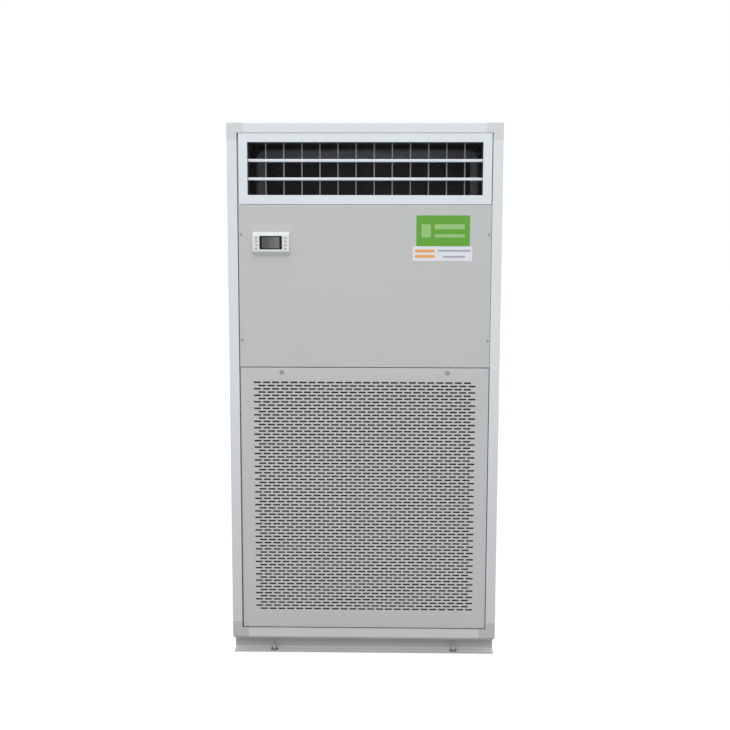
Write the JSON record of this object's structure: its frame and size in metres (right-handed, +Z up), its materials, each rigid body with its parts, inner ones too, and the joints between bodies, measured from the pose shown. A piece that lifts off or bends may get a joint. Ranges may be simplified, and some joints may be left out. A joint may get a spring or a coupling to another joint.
{
  "type": "indoor split air conditioner",
  "caption": "Floor-standing indoor unit of a split air conditioner: framed cabinet with a supply grille, control panel, slotted return air intake and channel base.",
  "frame": {"origin": "on the floor, under the middle of the cabinet", "axes": "+Z up, -Y out of the front with the grille and controller, +X to the right seen from the front"},
  "size_m": [0.88, 0.6657, 1.75],
  "materials": {
    "frame_profile": "satin powder coat on aluminium",
    "corner_plastic": "matte",
    "base_steel": "satin",
    "panel_paint": "fine texture powder coat",
    "filter_media": "matte",
    "bare_steel": "galvanised",
    "foam": "matte",
    "grille_paint": "satin",
    "controller_plastic": "satin",
    "screen": "gloss",
    "key_rubber": "matte",
    "latch_metal": "satin",
    "grommet_rubber": "matte"
  },
  "bodies": {
    "root": {"air_filter": "filter_media", "base_front": "base_steel", "base_left": "base_steel", "base_middle": "base_steel", "base_rear": "base_steel", "base_right": "base_steel", "bottom_rail_front": "frame_profile", "bottom_rail_left": "frame_profile", "bottom_rail_rear": "frame_profile", "bottom_rail_right": "frame_profile", "cable_grommet": "grommet_rubber", "control_panel": "panel_paint", "controller_case": "controller_plastic", "controller_keys": "key_rubber", "controller_screen": "screen", "corner_bottom_front_left": "corner_plastic", "corner_bottom_front_right": "corner_plastic", "corner_bottom_rear_left": "corner_plastic", "corner_bottom_rear_right": "corner_plastic", "corner_top_front_left": "corner_plastic", "corner_top_front_right": "corner_plastic", "corner_top_rear_left": "corner_plastic", "corner_top_rear_right": "corner_plastic", "crossbar_lower": "bare_steel", "crossbar_upper": "bare_steel", "floor_panel": "panel_paint", "grille_bars": "grille_paint", "grille_frame_bottom": "grille_paint", "grille_frame_left": "grille_paint", "grille_frame_right": "grille_paint", "grille_frame_top": "grille_paint", "grille_vanes": "grille_paint", "intake_panel": "panel_paint", "panel_latches": "latch_metal", "pipe_grommet": "grommet_rubber", "plenum_floor": "bare_steel", "plenum_lining": "foam", "post_front_left": "frame_profile", "post_front_right": "frame_profile", "post_rear_left": "frame_profile", "post_rear_right": "frame_profile", "rear_panel": "panel_paint", "rear_service_panel": "panel_paint", "side_panel_left": "panel_paint", "side_panel_right": "panel_paint", "top_panel": "panel_paint", "top_rail_front": "frame_profile", "top_rail_left": "frame_profile", "top_rail_rear": "frame_profile", "top_rail_right": "frame_profile"}
  },
  "joints": []
}
